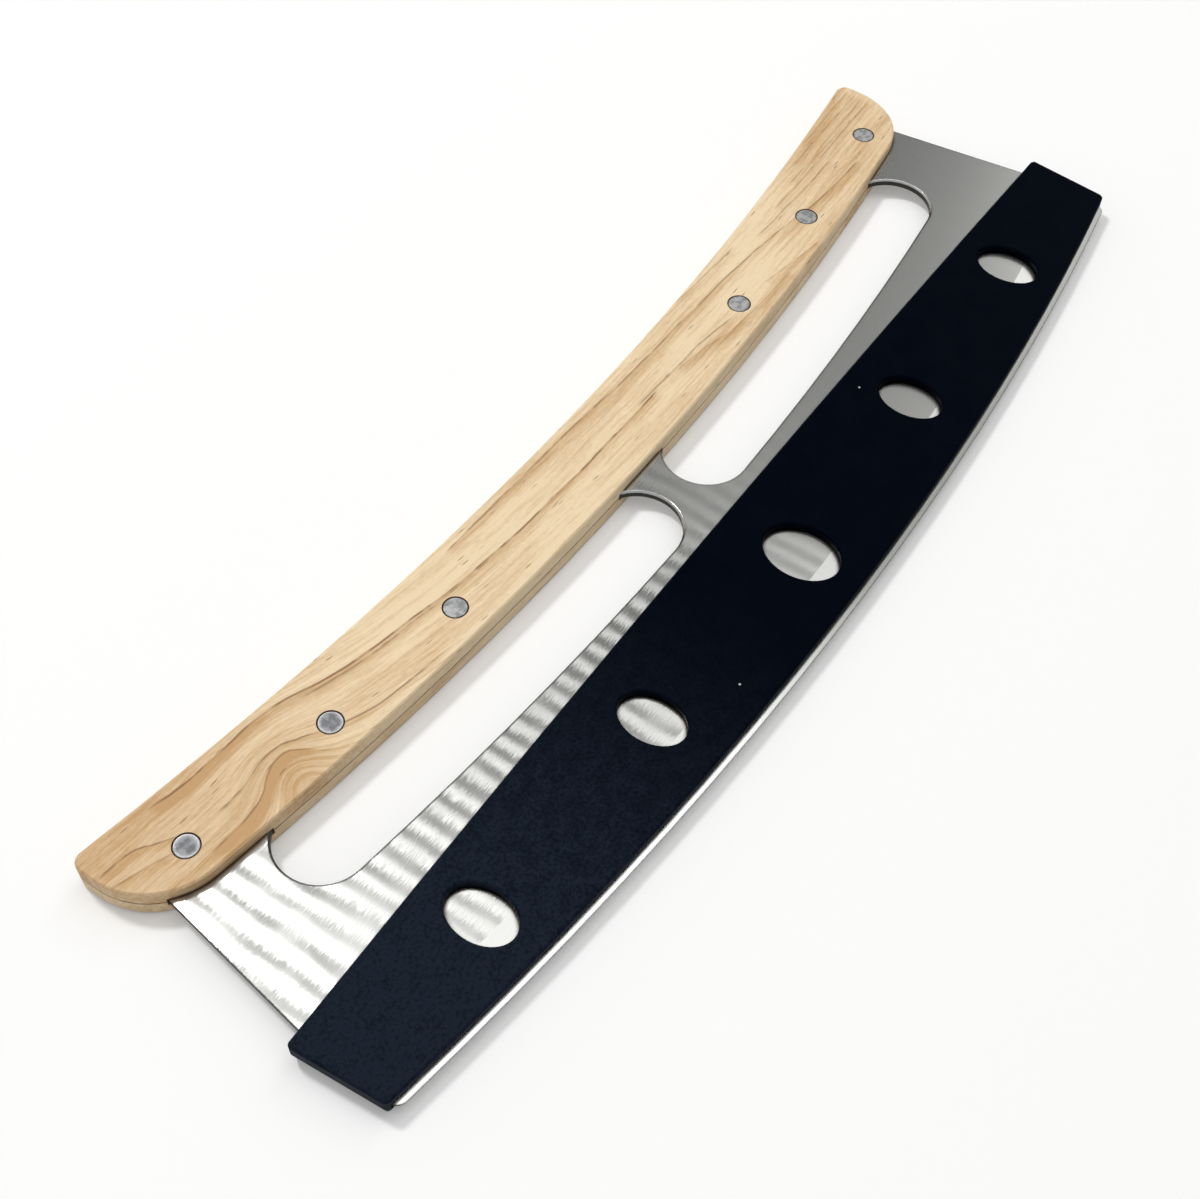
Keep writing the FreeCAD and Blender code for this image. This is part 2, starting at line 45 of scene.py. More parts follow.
# Table, lamp and room
TABLE_SIZE = 8.0
TABLE_CONTACT = Vector((0.0, 0.0155, 0.0))
TABLE_TILT = math.radians(-0.82)
TABLE_WHITE = (0.85, 0.85, 0.85, 1.0)
TABLE_SEEN = (0.85, 0.85, 0.843, 1.0)
TABLE_GLOW = 0.175
TABLE_ROUGH = 1.0
TABLE_GLOSS = 0.0
LAMP_DIRECTION = Vector((0.05, 0.60, 1.0)).normalized()
LAMP_DISTANCE = 3.0
LAMP_SIZE = 0.49
LAMP_POWER = 35.7
ROOM_DIM = 0.42
WALL_LIGHT = 0.65
WALL_TOP = (0.20, 0.40)

# Windows of the room: direction, dot products at the soft edge, and light
WINDOWS = (
    (Vector((0.310, -0.028, 1.0)).normalized(), (0.9155, 0.9355), 1.66),
    (Vector((1.30, 0.02, 1.0)).normalized(), (0.975, 0.990), 2.20),
)

# Dark stretch of the ceiling
DARK_DIRECTION = Vector((0.92, 0.40, 1.0)).normalized()
DARK_EDGE = (0.90, 0.96)
DARK_LIGHT = 0.145

# Painted shade in narrow corners, and how far a normal turns at an edge
CREVICE_RAYS = 6
CREVICE_SHARES = (0.50, 0.92)
TURN_SHARES = (0.93, 0.995)

# Octaves of the noises, how much each finer one counts beside the one before it, and their mean
PLAIN_OCTAVES = 2.0
FINE_OCTAVES = 3.0
PLAIN_SHARE = 0.5
CRISP_SHARE = 0.6
NOISE_MEAN = 0.5


class Recipe:
    """One material's node tree, with short ways to add nodes to it."""

    def __init__(self, name):
        self.material = bpy.data.materials.new(name)
        self.material.use_nodes = True
        self.tree = self.material.node_tree
        self.shader = self.tree.nodes["Principled BSDF"]
        place = self.node("ShaderNodeTexCoord").outputs["Object"]
        self.x, self.y, self.z = self.node("ShaderNodeSeparateXYZ", Vector=place).outputs

    def node(self, kind, settings=None, **inputs):
        """Adds a node; inputs are values or sockets by the input's name."""
        made = self.tree.nodes.new(kind)
        for name, value in (settings or {}).items():
            setattr(made, name, value)
        for name, value in inputs.items():
            self.feed(made.inputs[name.replace("_", " ")], value)
        return made

    def feed(self, socket, value):
        """Links a socket to an input, or sets the input to a value."""
        if isinstance(value, bpy.types.NodeSocket):
            self.tree.links.new(value, socket)
        else:
            socket.default_value = value

    def math(self, operation, *values):
        """Result of one sum on values or sockets."""
        made = self.tree.nodes.new("ShaderNodeMath")
        made.operation = operation
        for socket, value in zip(made.inputs, values):
            self.feed(socket, value)
        return made.outputs[0]

    def product(self, first, *others):
        """All the values multiplied."""
        for other in others:
            first = self.math("MULTIPLY", first, other)
        return first

    def total(self, first, *others):
        """All the values added up."""
        for other in others:
            first = self.math("ADD", first, other)
        return first

    def scaled(self, sizes, x=None, y=None, z=None):
        """Point whose unit along each axis is the given size."""
        places = (x or self.x, y or self.y, z or self.z)
        parts = [self.math("DIVIDE", place, size) for place, size in zip(places, sizes)]
        return self.node("ShaderNodeCombineXYZ", X=parts[0], Y=parts[1], Z=parts[2]).outputs[0]

    def noise(self, vector, octaves=PLAIN_OCTAVES, finer_share=PLAIN_SHARE):
        """Smooth random number from 0 to 1 at each point."""
        made = self.node("ShaderNodeTexNoise", Vector=vector, Scale=1.0, Detail=octaves,
                         Roughness=finer_share)
        return made.outputs["Fac"]

    def cells(self, vector, dimensions="3D"):
        """Distance to the nearest of scattered points, and a number that is that point's own."""
        made = self.node("ShaderNodeTexVoronoi", {"voronoi_dimensions": dimensions},
                         Vector=vector, Scale=1.0)
        own = self.node("ShaderNodeSeparateXYZ", Vector=made.outputs["Color"])
        return made.outputs["Distance"], own.outputs[0]

    def ramp(self, value, low, high, start=0.0, end=1.0):
        """Value mapped smoothly from the range low to high onto start to end."""
        made = self.node("ShaderNodeMapRange", {"interpolation_type": "SMOOTHSTEP"}, Value=value)
        for name, number in (("From Min", low), ("From Max", high), ("To Min", start), ("To Max", end)):
            self.feed(made.inputs[name], number)
        return made.outputs[0]

    def hump(self, value, centre, width):
        """Bell curve of a value about a centre."""
        off = self.math("DIVIDE", self.math("SUBTRACT", value, centre), width)
        return self.math("EXPONENT", self.product(off, off, -1.0))

    def mix(self, share, first, second):
        """Colour that goes from the first to the second with the share."""
        made = self.node("ShaderNodeMix", {"data_type": "RGBA"})
        colours = [socket for socket in made.inputs if socket.type == "RGBA"]
        self.feed(made.inputs["Factor"], share)
        self.feed(colours[0], first)
        self.feed(colours[1], second)
        return [socket for socket in made.outputs if socket.type == "RGBA"][0]

    def flat_normal(self):
        """Normal of the face itself."""
        return self.node("ShaderNodeNewGeometry").outputs["True Normal"]

    def eased(self, radius):
        """Normal that rounds the edges off."""
        return self.node("ShaderNodeBevel", Radius=radius).outputs[0]

    def turning(self, radius):
        """How near a point is to an edge, from 0 on the open face to 1 at the edge."""
        made = self.node("ShaderNodeVectorMath", {"operation": "DOT_PRODUCT"})
        self.feed(made.inputs[0], self.eased(radius))
        self.feed(made.inputs[1], self.flat_normal())
        return self.ramp(made.outputs["Value"], *TURN_SHARES, 1.0, 0.0)

    def crevice(self, reach):
        """How closed in a point is by what stands near it, from 0 in the open to 1 in a corner."""
        made = self.node("ShaderNodeAmbientOcclusion", {"samples": CREVICE_RAYS}, Distance=reach)
        return self.ramp(made.outputs["AO"], *CREVICE_SHARES, 1.0, 0.0)

    def leaning(self, normal, tilt):
        """Normal leaned over along the object."""
        lean = self.node("ShaderNodeCombineXYZ", X=tilt).outputs[0]
        made = self.node("ShaderNodeVectorMath", {"operation": "ADD"})
        self.feed(made.inputs[0], normal)
        self.feed(made.inputs[1], lean)
        unit = self.node("ShaderNodeVectorMath", {"operation": "NORMALIZE"}, Vector=made.outputs[0])
        return unit.outputs[0]

    def bump(self, height, depth, before):
        """Normal of a surface whose height varies by the depth."""
        return self.node("ShaderNodeBump", Height=height, Distance=depth, Normal=before).outputs[0]

    def finish(self, **inputs):
        """Feeds the shader and gives the material."""
        for name, value in inputs.items():
            self.feed(self.shader.inputs[name.replace("_", " ")], value)
        return self.material


# Wood
WOOD_PALE = (0.915, 0.728, 0.475, 1.0)
WOOD_TAN = (0.590, 0.354, 0.158, 1.0)
WOOD_LINE = (0.270, 0.145, 0.065, 1.0)
# Painted shade for corners and the seam
WOOD_CORNER_SHADE = (0.060, 0.035, 0.020, 1.0)
WOOD_ROUGH = (0.50, 0.62)
WOOD_SMOOTH_RANGE = (0.2, 0.8)
WOOD_GLOSS = 0.3
EDGE_EASE = 0.0003

# Growth lines: strength, shade below the line, and points along and across the handle in millimetres
GROWTH_LINES = (
    (1.0, 0.9, ((-152, 48.2), (-133, 45.3), (-121, 44.8), (-100, 38.3),
                (-80, 33.8), (-50, 29.1), (-20, 27.3), (25, 26.6))),
    (0.7, 0.3, ((-110, 40.3), (-100, 37.1), (-80, 32.6), (-60, 29.8), (-45, 28.2))),
    (0.7, 0.6, ((-55, 38.8), (0, 37.5), (22, 36.4), (55, 35.7),
                (70, 35.3), (100, 33.2), (124, 30.3), (142, 30.2))),
    (0.7, 0.3, ((15, 27.8), (30, 27.2), (45, 26.8), (61, 25.2))),
    (0.2, 0.8, ((32, 27.0), (46, 24.6), (60, 22.2), (88, 21.5))),
    (0.4, 0.5, ((76, 25.4), (86, 23.7), (104, 21.2))),
    (0.4, 0.4, ((55, 41.5), (70, 40.8), (86, 40.5))),
    (0.5, 0.5, ((92, 37.4), (105, 37.0), (138, 37.0))),
    (0.5, 0.6, ((106, 39.2), (140, 40.4), (170, 42.2))),
    (0.4, 0.5, ((118, 41.6), (140, 42.8), (170, 44.4))),
    (0.5, 0.6, ((126, 45.1), (150, 46.3), (170, 46.9))),
    (0.4, 0.5, ((136, 47.7), (150, 48.6), (170, 49.5))),
    (0.8, 0.6, ((-172, 45.0), (-163, 44.1), (-157, 40.8), (-151, 37.0))),
    (0.6, 0.6, ((-172, 41.2), (-163, 38.5), (-155, 35.4))),
    (0.8, 0.4, ((-144, 34.7), (-134, 34.8), (-125, 36.0), (-118, 33.3),
                (-113, 30.4), (-104, 25.6), (-95, 22.8), (-76, 20.4))),
    (0.7, 1.0, ((-152, 28.7), (-136, 29.2), (-129, 32.3), (-124, 33.5),
                (-120, 31.2), (-116, 22.0))),
)

# Course of the fibres, and how far such curves can reach along and across the handle, in millimetres
FIBRE_COURSE = ((-180, 50.5), (-150, 47.5), (-122, 44.6), (-100, 38.3),
                (-78, 33.3), (-50, 29.6), (50, 26.5), (180, 31.5))
GROWTH_SPAN = (-180.0, 180.0)
GROWTH_TOP = 60.0

# Widths of the lines and of the shade beside them, and the gaps in the lines
LINE_WIDTH = 0.00050
LINE_FADE = 0.004
SHADE_DEPTH = 0.0045
SHADE_RISE = 0.0004
BREAK_SIZE = (0.006, 0.004, 0.006)
BREAK_RANGE = (0.36, 0.56)
BREAK_SHARES = (0.25, 1.0)

# Waves of the fibres, and the swirl beside a knot
WAVE_SIZE = (0.016, 0.012, 0.012)
WAVE_HEIGHT = 0.0013
SWIRL_HEIGHT = 0.008
SWIRL_PLACE = (-0.125, 0.028)
SWIRL_SIZE = (0.009, 0.010)

# Sizes along and across the fibres of what shows in the wood
TONE_SIZE = (0.060, 0.0065, 0.012)
TONE_RANGE = (0.35, 0.70)
STREAK_SIZE = (0.022, 0.0011, 0.0011)
STREAK_RANGE = (0.40, 0.75)
FIBRE_SIZE = (0.010, 0.00033, 0.00033)
FIBRE_RANGE = (0.28, 0.72)
FIBRE_DEPTH = 0.00003
MOTTLE_SIZE = (0.0022, 0.0009, 0.0009)
MOTTLE_RANGE = (0.30, 0.70)
MOTTLE_CRISP_SHARE = 0.65
PORE_SIZE = (0.0105, 0.0011, 0.0013)
PORE_SHARES = (0.05, 0.17)
PORED_SHARES = (0.40, 0.60)
PORE_DEPTH = 0.00010
TIP_START = 0.080
TIP_END = 0.168
# Reach of the painted shade in corners and the seam
SEAM_REACH = 0.0012

# How much of the tan each cause brings in, and how dark the lines and pores are
PALE_SHARE = 0.37
TONE_SHARE = 0.40
STREAK_SHARE = 0.40
FIBRE_SHARE = 0.30
MOTTLE_SHARE = 0.20
SHADE_SHARE = 0.62
BUTT_SHARE = 0.56
TIP_SHARE = 0.28
SWIRL_SHARE = 0.26
LINE_SHARE = 0.95
PORE_SHARE = 0.78
# Share of painted shade in corners
CORNER_SHADE_SHARE = 0.75


def growth_curve(wood, points, x):
    """Height across the handle, at each place along it, of a smooth curve through the points."""
    start, end = GROWTH_SPAN
    along = wood.math("DIVIDE", wood.math("SUBTRACT", x, start * MILLIMETRE), (end - start) * MILLIMETRE)
    made = wood.node("ShaderNodeFloatCurve", Value=along)
    curve = made.mapping.curves[0]
    places = [((place - start) / (end - start), height / GROWTH_TOP) for place, height in points]
    for point, place in zip(curve.points, (places[0], places[-1])):
        point.location = place
    for place in places[1:-1]:
        curve.points.new(*place)
    made.mapping.update()
    return wood.math("MULTIPLY", made.outputs[0], GROWTH_TOP * MILLIMETRE)


def growth_lines(wood, x, y):
    """Dark lines where a year's growth ends, and the shade of the late wood on the palm side of them."""
    lines = shades = 0.0
    for strength, depth, points in GROWTH_LINES:
        above = wood.math("SUBTRACT", y, growth_curve(wood, points, x))
        first, last = points[0][0] * MILLIMETRE, points[-1][0] * MILLIMETRE
        there = wood.product(wood.ramp(x, first, first + LINE_FADE),
                             wood.ramp(x, last - LINE_FADE, last, 1.0, 0.0))
        line = wood.ramp(wood.math("ABSOLUTE", above), 0.0, LINE_WIDTH, strength, 0.0)
        shade = wood.product(wood.ramp(above, -SHADE_DEPTH, 0.0, 0.0, depth),
                             wood.ramp(above, 0.0, SHADE_RISE, 1.0, 0.0))
        lines = wood.math("MAXIMUM", wood.product(line, there), lines)
        shades = wood.math("MAXIMUM", wood.product(shade, there), shades)
    return lines, shades


def grain_flow(wood, x):
    """Wavy place across the handle, how far it is from the fibres' course, and the swirl's strength."""
    wave = wood.noise(wood.scaled(WAVE_SIZE, x))
    y = wood.total(wood.y, wood.product(wood.math("SUBTRACT", wave, NOISE_MEAN), WAVE_HEIGHT))
    swirl = wood.product(wood.hump(x, SWIRL_PLACE[0], SWIRL_SIZE[0]),
                         wood.hump(y, SWIRL_PLACE[1], SWIRL_SIZE[1]))
    field = wood.math("SUBTRACT", y, growth_curve(wood, FIBRE_COURSE, x))
    field = wood.math("SUBTRACT", field, wood.product(swirl, SWIRL_HEIGHT))
    return y, field, swirl


def wood_material(name, turned):
    """Beech-like wood; a turned board runs the other way along the handle."""
    wood = Recipe(name)
    x = wood.math("MULTIPLY", wood.x, -1.0) if turned else wood.x
    y, field, swirl = grain_flow(wood, x)

    def figure(size, finer_share, limits):
        """Noise drawn out along the fibres."""
        return wood.ramp(wood.noise(wood.scaled(size, x, field), FINE_OCTAVES, finer_share), *limits)

    tone = figure(TONE_SIZE, PLAIN_SHARE, TONE_RANGE)
    streak = figure(STREAK_SIZE, CRISP_SHARE, STREAK_RANGE)
    fibre = figure(FIBRE_SIZE, CRISP_SHARE, FIBRE_RANGE)
    mottle = figure(MOTTLE_SIZE, MOTTLE_CRISP_SHARE, MOTTLE_RANGE)
    lines, shades = growth_lines(wood, x, y)
    breaks = wood.noise(wood.scaled(BREAK_SIZE, x, field))
    lines = wood.product(lines, wood.ramp(breaks, *BREAK_RANGE, *BREAK_SHARES))
    away, own = wood.cells(wood.scaled(PORE_SIZE, x, field))
    pore = wood.product(wood.ramp(away, *PORE_SHARES, 1.0, 0.0), wood.ramp(own, *PORED_SHARES))
    brown = wood.total(wood.ramp(x, -TIP_START, -TIP_END, 0.0, BUTT_SHARE),
                       wood.ramp(x, TIP_START, TIP_END, 0.0, TIP_SHARE))

    darkness = wood.total(wood.product(tone, TONE_SHARE), wood.product(streak, STREAK_SHARE),
                          wood.product(fibre, FIBRE_SHARE), wood.product(shades, SHADE_SHARE),
                          wood.product(mottle, MOTTLE_SHARE), wood.product(swirl, SWIRL_SHARE),
                          brown)
    colour = wood.mix(wood.math("SUBTRACT", darkness, PALE_SHARE), WOOD_PALE, WOOD_TAN)
    colour = wood.mix(wood.product(lines, LINE_SHARE), colour, WOOD_LINE)
    colour = wood.mix(wood.product(pore, PORE_SHARE), colour, WOOD_LINE)
    # Painted shade in corners and along the seam
    colour = wood.mix(wood.product(wood.crevice(SEAM_REACH), CORNER_SHADE_SHARE), colour, WOOD_CORNER_SHADE)
    normal = wood.bump(fibre, FIBRE_DEPTH, wood.eased(EDGE_EASE))
    normal = wood.bump(wood.math("SUBTRACT", 1.0, wood.math("MAXIMUM", lines, pore)), PORE_DEPTH, normal)
    rough = wood.ramp(fibre, *WOOD_SMOOTH_RANGE, *WOOD_ROUGH)
    return wood.finish(Base_Color=colour, Roughness=rough, Normal=normal, Specular_IOR_Level=WOOD_GLOSS)


# Steel
STEEL_FLAT = (0.62, 0.62, 0.597, 1.0)
STEEL_DULL = (0.49, 0.49, 0.470, 1.0)
# Painted dark reflection in the belt bands, then the honed colour
STEEL_BAND_SHADE = (0.39, 0.39, 0.375, 1.0)
STEEL_HONED = (0.36, 0.36, 0.345, 1.0)
# Painted highlight, then the ground colour
STEEL_PAINTED_HIGHLIGHT = (0.78, 0.78, 0.765, 1.0)
STEEL_GROUND = (0.57, 0.57, 0.55, 1.0)
# Dark colour of walls and rims, partly the cut edge's own and partly painted shade
STEEL_CUT_AND_SHADE = (0.045, 0.043, 0.040, 1.0)
# Painted shade for corners
STEEL_CORNER_SHADE = (0.070, 0.045, 0.025, 1.0)
STEEL_EASE = 0.0003
# Reach of the painted shade in corners
CORNER_SHADE_REACH = 0.0014
FLAT_ROUGH = 0.24
GROUND_ROUGH = 0.04
CUT_ROUGH = 0.25

# Marks of the belt, which fade out towards the far half; their bands carry a painted dark reflection
BELT_PITCH = 0.0058
BELT_STRAY_SIZE = (0.018, 0.030, 0.030)
BELT_STRAY = 0.9
BELT_CLOUD_SIZE = (0.009, 0.012, 0.012)
BELT_CLOUD_RANGE = (0.25, 0.65)
BELT_CLOUD_SHARES = (0.30, 1.0)
BELT_TILT = 0.058
BELT_FULL = -0.050
BELT_LOST = 0.020
BELT_LEFT_SHARE = 0.06
BAND_RANGE = (-0.5, 1.0)
BAND_SHADE_SHARE = 0.62

# Fine strokes of the brush
BRUSH_SIZE = (0.0028, 0.00036, 0.00036)
BRUSH_STRAY = 0.75
BRUSH_TILT = 0.070
BRUSH_RANGE = (0.2, 0.8)
BRUSH_ROUGH = 0.04
DULL_RANGE = (0.3, 0.7)

# Ground and honed strips along the round cutting edge; the honed strip carries a painted highlight at the
# near end
ROCK_RADIUS = 1.130
ROCK_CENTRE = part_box("blade")[0][1] + ROCK_RADIUS
BEVEL_WIDTH = 0.0135
BEVEL_BLUR = 0.0003
HONED_WIDTH = 0.0030
HONED_START = -0.070
HONED_FULL = 0.010

# Walls and rims, told apart by how steep they are and which way along the knife they face; rims get a
# painted dark reflection or painted highlight, walls a dark colour that is partly painted shade
WALL_FACING = (0.2, 0.4)
SLANT_FACING = (0.75, 0.85)
GLEAM_FACING = (-0.5, -0.2)
RIM_EASE = 0.0005
RIM_SHARE = 0.88
GLEAM_SHARE = 0.85


def edge_strip(steel, width):
    """Share that is 1 in a strip of the given width along the cutting edge and 0 elsewhere."""
    rise = steel.math("SUBTRACT", ROCK_CENTRE, steel.y)
    reach = steel.math("SQRT", steel.total(steel.product(steel.x, steel.x), steel.product(rise, rise)))
    distance = steel.math("SUBTRACT", ROCK_RADIUS, reach)
    return steel.ramp(distance, width - BEVEL_BLUR, width + BEVEL_BLUR, 1.0, 0.0)


def belt_marks(steel, brush):
    """Waves that a grinding belt leaves across the plate, and how strong they are at each place."""
    stray = steel.product(steel.noise(steel.scaled(BELT_STRAY_SIZE)), BELT_STRAY)
    pitches = steel.math("DIVIDE", steel.x, BELT_PITCH)
    place = steel.total(pitches, stray, steel.product(brush, BRUSH_STRAY))
    wave = steel.math("COSINE", steel.product(place, math.tau))
    cloud = steel.noise(steel.scaled(BELT_CLOUD_SIZE))
    return wave, steel.ramp(cloud, *BELT_CLOUD_RANGE, *BELT_CLOUD_SHARES)


def rimmed(steel, colour):
    """Colour with walls dark partly from the cut edge and partly from painted shade, rims with a painted
    dark reflection or, facing the near end, a painted highlight, and the share of wall.
    """
    facing = steel.node("ShaderNodeSeparateXYZ", Vector=steel.flat_normal())
    level = steel.math("ABSOLUTE", facing.outputs["Z"])
    wall = steel.ramp(level, *WALL_FACING, 1.0, 0.0)
    slant = steel.ramp(level, *SLANT_FACING, 1.0, 0.0)
    gleam = steel.ramp(facing.outputs["X"], *GLEAM_FACING, GLEAM_SHARE, 0.0)
    rim = steel.product(steel.math("MAXIMUM", slant, steel.turning(RIM_EASE)),
                        steel.ramp(facing.outputs["X"], *GLEAM_FACING, 0.0, RIM_SHARE))
    # Painted dark reflection on rims, and a painted highlight on those facing the near end
    colour = steel.mix(rim, colour, STEEL_CUT_AND_SHADE)
    colour = steel.mix(gleam, colour, STEEL_PAINTED_HIGHLIGHT)
    # Walls dark, partly the cut edge's own colour and partly painted shade
    return steel.mix(wall, colour, STEEL_CUT_AND_SHADE), wall


def steel_material(name):
    """Brushed steel with belt marks across one half whose bands carry a painted dark reflection, a ground
    edge whose honed strip carries a painted highlight, rims with painted dark reflections and painted
    highlights, and painted shade in corners.
    """
    steel = Recipe(name)
    ground = edge_strip(steel, BEVEL_WIDTH)
    brush = steel.noise(steel.scaled(BRUSH_SIZE), FINE_OCTAVES, CRISP_SHARE)
    wave, cloud = belt_marks(steel, brush)
    reach = steel.ramp(steel.x, BELT_FULL, BELT_LOST, 1.0, BELT_LEFT_SHARE)
    belt = steel.product(wave, cloud, BELT_TILT)
    streak = steel.product(steel.math("SUBTRACT", brush, NOISE_MEAN), BRUSH_TILT)
    tilt = steel.product(steel.total(belt, streak), reach, steel.math("SUBTRACT", 1.0, ground))
    normal = steel.leaning(steel.eased(STEEL_EASE), tilt)

    dull = steel.product(steel.ramp(brush, *DULL_RANGE, 1.0, 0.0), reach)
    colour = steel.mix(dull, STEEL_FLAT, STEEL_DULL)
    # Painted dark reflection in the bands of the belt marks
    band_shade = steel.product(steel.ramp(wave, *BAND_RANGE), cloud, reach, BAND_SHADE_SHARE)
    colour = steel.mix(band_shade, colour, STEEL_BAND_SHADE)
    colour = steel.mix(ground, colour, STEEL_GROUND)
    # Painted highlight on the honed strip at the near end, fading into the honed colour
    honed_highlight = steel.mix(steel.ramp(steel.x, HONED_START, HONED_FULL), STEEL_PAINTED_HIGHLIGHT, STEEL_HONED)
    colour = steel.mix(edge_strip(steel, HONED_WIDTH), colour, honed_highlight)
    colour, wall = rimmed(steel, colour)
    # Painted shade in corners, such as along the handle
    colour = steel.mix(steel.crevice(CORNER_SHADE_REACH), colour, STEEL_CORNER_SHADE)
    strokes = steel.ramp(brush, *BRUSH_RANGE, -BRUSH_ROUGH, BRUSH_ROUGH)
    rough = steel.total(steel.product(strokes, reach), FLAT_ROUGH,
                        steel.product(ground, GROUND_ROUGH), steel.product(wall, CUT_ROUGH))
    return steel.finish(Base_Color=colour, Metallic=1.0, Roughness=rough, Normal=normal)


# Rivets
RIVET_PALE = (0.47, 0.475, 0.465, 1.0)
RIVET_DARK = (0.31, 0.315, 0.315, 1.0)
# Painted darker reflection and painted highlight ring at the near end, and painted shade round the rivet
RIVET_NEAR_REFLECTION = (0.115, 0.120, 0.140, 1.0)
RIVET_HIGHLIGHT = (0.85, 0.85, 0.85, 1.0)
RIVET_CORNER_SHADE = (0.05, 0.04, 0.03, 1.0)
RIVET_ROUGH = (0.68, 0.58)
RIVET_EASE = 0.0002
# Reach of the painted shade round the rivet, and the painted highlight ring and darker reflection towards
# the near end
RIM_REACH = 0.0008
RING_EASE = 0.0013
RING_HIGHLIGHT_SHARE = 0.80
NEAR_REFLECTION_SHARE = 0.55
NEAR_REFLECTION_START = -0.050
NEAR_REFLECTION_FULL = -0.120
DENT_SIZE = (0.0016, 0.0016, 0.0016)
DENT_DEPTH = 0.00020
DENT_RANGE = (0.38, 0.60)
PEEN_RANGE = (0.3, 0.7)


def rivet_material(name):
    """Peened metal with painted shade in the groove round it; at the near end a painted darker
    reflection, with a painted highlight ring.
    """
    rivet = Recipe(name)
    dents = rivet.noise(rivet.scaled(DENT_SIZE), FINE_OCTAVES)
    colour = rivet.mix(rivet.ramp(dents, *DENT_RANGE), RIVET_DARK, RIVET_PALE)
    # Painted darker reflection and painted highlight ring at the near end
    near_reflection = rivet.ramp(rivet.x, NEAR_REFLECTION_FULL, NEAR_REFLECTION_START, 1.0, 0.0)
    colour = rivet.mix(rivet.product(near_reflection, NEAR_REFLECTION_SHARE), colour, RIVET_NEAR_REFLECTION)
    colour = rivet.mix(rivet.product(rivet.turning(RING_EASE), near_reflection, RING_HIGHLIGHT_SHARE), colour, RIVET_HIGHLIGHT)
    # Painted shade in the groove round the rivet
    colour = rivet.mix(rivet.crevice(RIM_REACH), colour, RIVET_CORNER_SHADE)
    normal = rivet.bump(dents, DENT_DEPTH, rivet.eased(RIVET_EASE))
    rough = rivet.ramp(dents, *PEEN_RANGE, *RIVET_ROUGH)
    return rivet.finish(Base_Color=colour, Metallic=1.0, Roughness=rough, Normal=normal)


# Guard
GUARD_COLOUR = (0.0002, 0.0012, 0.0042, 1.0)
GUARD_WORN = (0.0008, 0.0020, 0.0052, 1.0)
# Painted sheen at the near end
GUARD_NEAR_SHEEN = (0.0120, 0.0170, 0.0278, 1.0)
GUARD_SHEEN = (0.60, 0.78, 1.0, 1.0)
GUARD_ROUGH = (0.42, 0.50)
GUARD_GLOSS = 0.02
GUARD_EASE = 0.0005
GUARD_GRAIN_SIZE = (0.0006, 0.0006, 0.0006)
GUARD_GRAIN_DEPTH = 0.00003
GUARD_CLOUD_SIZE = (0.008, 0.008, 0.008)
GUARD_CLOUD_RANGE = (0.3, 0.7)

# Painted sheen at the near end of the guard, with its speckle and patches
NEAR_SHEEN_START = -0.015
NEAR_SHEEN_END = -0.165
SPECKLE_SIZE = (0.0009, 0.0009, 0.0009)
SPECKLE_RANGE = (0.30, 0.70)
SPECKLE_CRISP_SHARE = 0.7
SPECKLE_SHARES = (0.45, 1.55)
PATCH_SIZE = (0.0040, 0.0040, 0.0040)
PATCH_SHARES = (0.72, 1.28)

# Specks of dust, with core and reach as shares of the room that each has
DUST_COLOUR = (0.55, 0.55, 0.55, 1.0)
DUST_SIZE = (0.020, 0.020, 0.020)
DUST_SPREAD_SHARES = (0.008, 0.020)
DUST_SHARE = 0.78


def guard_material(name):
    """Dark matt plastic with a painted sheen that makes it paler towards the near end, and a few specks
    of dust.
    """
    guard = Recipe(name)
    grain = guard.noise(guard.scaled(GUARD_GRAIN_SIZE))
    cloud = guard.noise(guard.scaled(GUARD_CLOUD_SIZE), FINE_OCTAVES)
    away, own = guard.cells(guard.scaled(DUST_SIZE), "2D")
    speck = guard.product(guard.ramp(away, *DUST_SPREAD_SHARES, 1.0, 0.0),
                          guard.math("GREATER_THAN", own, DUST_SHARE))
    fine = guard.noise(guard.scaled(SPECKLE_SIZE), FINE_OCTAVES, SPECKLE_CRISP_SHARE)
    fine = guard.ramp(fine, *SPECKLE_RANGE, *SPECKLE_SHARES)
    patchy = guard.noise(guard.scaled(PATCH_SIZE), FINE_OCTAVES, CRISP_SHARE)
    patchy = guard.ramp(patchy, *SPECKLE_RANGE, *PATCH_SHARES)
    # Painted sheen towards the near end, mottled by speckle and patches
    near_sheen = guard.product(guard.ramp(guard.x, NEAR_SHEEN_END, NEAR_SHEEN_START, 1.0, 0.0), fine, patchy)
    colour = guard.mix(guard.ramp(cloud, *GUARD_CLOUD_RANGE), GUARD_COLOUR, GUARD_WORN)
    colour = guard.mix(near_sheen, colour, GUARD_NEAR_SHEEN)
    colour = guard.mix(speck, colour, DUST_COLOUR)
    rough = guard.ramp(cloud, *GUARD_CLOUD_RANGE, *GUARD_ROUGH)
    normal = guard.bump(grain, GUARD_GRAIN_DEPTH, guard.eased(GUARD_EASE))
    return guard.finish(Base_Color=colour, Roughness=rough, Normal=normal,
                        Specular_IOR_Level=GUARD_GLOSS, Specular_Tint=GUARD_SHEEN)


MATERIALS = {
    "steel": steel_material("steel_finish"),
    "front_wood": wood_material("front_wood_finish", turned=False),
    "rear_wood": wood_material("rear_wood_finish", turned=True),
    "rivet_metal": rivet_material("rivet_finish"),
    "guard_plastic": guard_material("guard_finish"),
}
for part in frame["record"]["subparts"]:
    mesh = frame["nodes"][part["node"]].data
    mesh.materials.clear()
    mesh.materials.append(MATERIALS[part["material_slot"]])


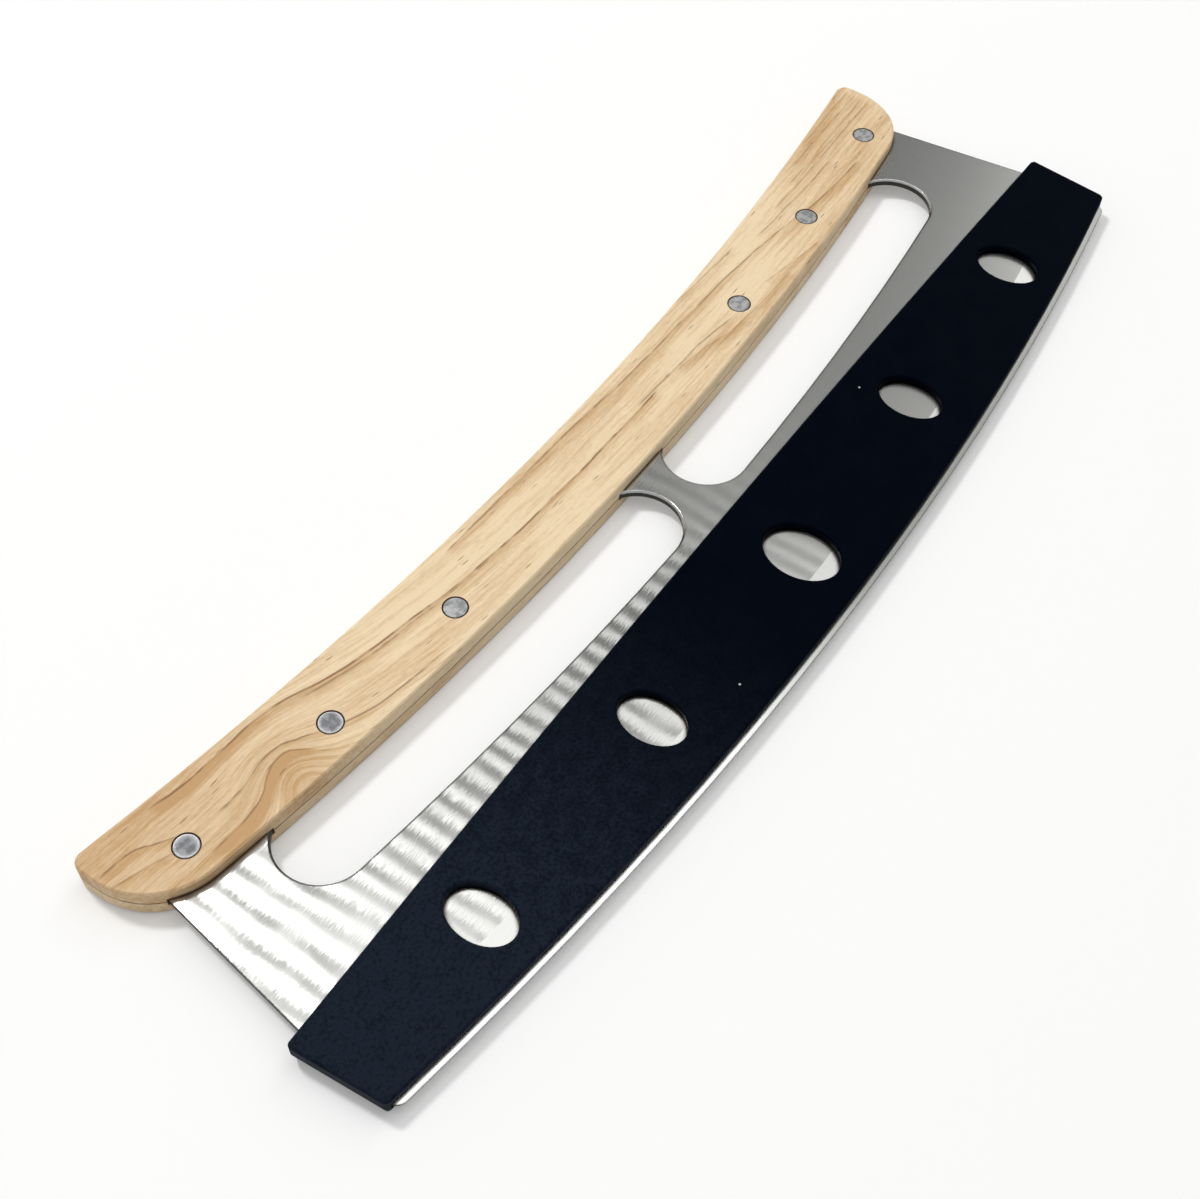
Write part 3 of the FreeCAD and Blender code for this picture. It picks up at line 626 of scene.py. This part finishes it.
# Stage
def table():
    """Pale table that the handle and the guard both rest on."""
    bpy.ops.mesh.primitive_plane_add(size=TABLE_SIZE, location=TABLE_CONTACT, rotation=(TABLE_TILT, 0, 0))
    floor = bpy.context.object
    floor.name = "table"
    paint = Recipe("table_paint")
    seen = paint.node("ShaderNodeLightPath").outputs
    shown = paint.math("MAXIMUM", seen["Is Camera Ray"], seen["Is Glossy Ray"])
    shown = paint.math("MAXIMUM", shown, seen["Is Transmission Ray"])
    floor.data.materials.append(paint.finish(
        Base_Color=paint.mix(shown, TABLE_WHITE, TABLE_SEEN), Roughness=TABLE_ROUGH,
        Specular_IOR_Level=TABLE_GLOSS, Emission_Color=WHITE,
        Emission_Strength=paint.product(shown, TABLE_GLOW)))


def lamp():
    """Round lamp high on the handle's side."""
    light = bpy.data.lights.new("overhead_lamp", "AREA")
    light.shape = "DISK"
    light.size = LAMP_SIZE
    light.energy = LAMP_POWER
    holder = bpy.data.objects.new("overhead_lamp", light)
    bpy.context.scene.collection.objects.link(holder)
    holder.location = LAMP_DIRECTION * LAMP_DISTANCE
    holder.rotation_mode = "QUATERNION"
    holder.rotation_quaternion = (-LAMP_DIRECTION).to_track_quat("-Z", "Y")


def room():
    """A dim room with pale walls and soft windows overhead."""
    sky = bpy.data.worlds.new("room")
    bpy.context.scene.world = sky
    sky.use_nodes = True
    nodes, links = sky.node_tree.nodes, sky.node_tree.links
    toward = nodes.new("ShaderNodeTexCoord").outputs["Generated"]

    def light(direction, edge, outside, inside):
        """Brightness that changes softly with the angle from a direction."""
        nearness = nodes.new("ShaderNodeVectorMath")
        nearness.operation = "DOT_PRODUCT"
        nearness.inputs[1].default_value = direction
        links.new(toward, nearness.inputs[0])
        level = nodes.new("ShaderNodeMapRange")
        level.interpolation_type = "SMOOTHSTEP"
        links.new(nearness.outputs["Value"], level.inputs["Value"])
        for name, number in zip(("From Min", "From Max", "To Min", "To Max"), (*edge, outside, inside)):
            level.inputs[name].default_value = number
        return level.outputs[0]

    def choose(operation, first, second):
        """The smaller or the larger of two brightnesses."""
        made = nodes.new("ShaderNodeMath")
        made.operation = operation
        links.new(first, made.inputs[0])
        links.new(second, made.inputs[1])
        return made.outputs[0]

    strength = light(UP, WALL_TOP, WALL_LIGHT, ROOM_DIM)
    strength = choose("MINIMUM", strength, light(DARK_DIRECTION, DARK_EDGE, ROOM_DIM, DARK_LIGHT))
    for direction, edge, inside in WINDOWS:
        strength = choose("MAXIMUM", strength, light(direction, edge, 0.0, inside))
    nodes["Background"].inputs["Color"].default_value = WHITE
    links.new(strength, nodes["Background"].inputs["Strength"])


def camera():
    """Camera above the near end of the knife."""
    data = bpy.data.cameras.new("camera")
    data.lens = CAMERA_LENS
    data.sensor_width = CAMERA_SENSOR
    data.clip_start = CAMERA_NEAREST
    holder = bpy.data.objects.new("camera", data)
    bpy.context.scene.collection.objects.link(holder)
    holder.location = CAMERA_PLACE
    holder.rotation_mode = "QUATERNION"
    look = (CAMERA_TARGET - CAMERA_PLACE).to_track_quat("-Z", "Y")
    holder.rotation_quaternion = look @ Quaternion(CAMERA_AXIS, CAMERA_ROLL)
    bpy.context.scene.camera = holder


table()
lamp()
room()
camera()
bpy.context.scene.view_settings.view_transform = "Standard"
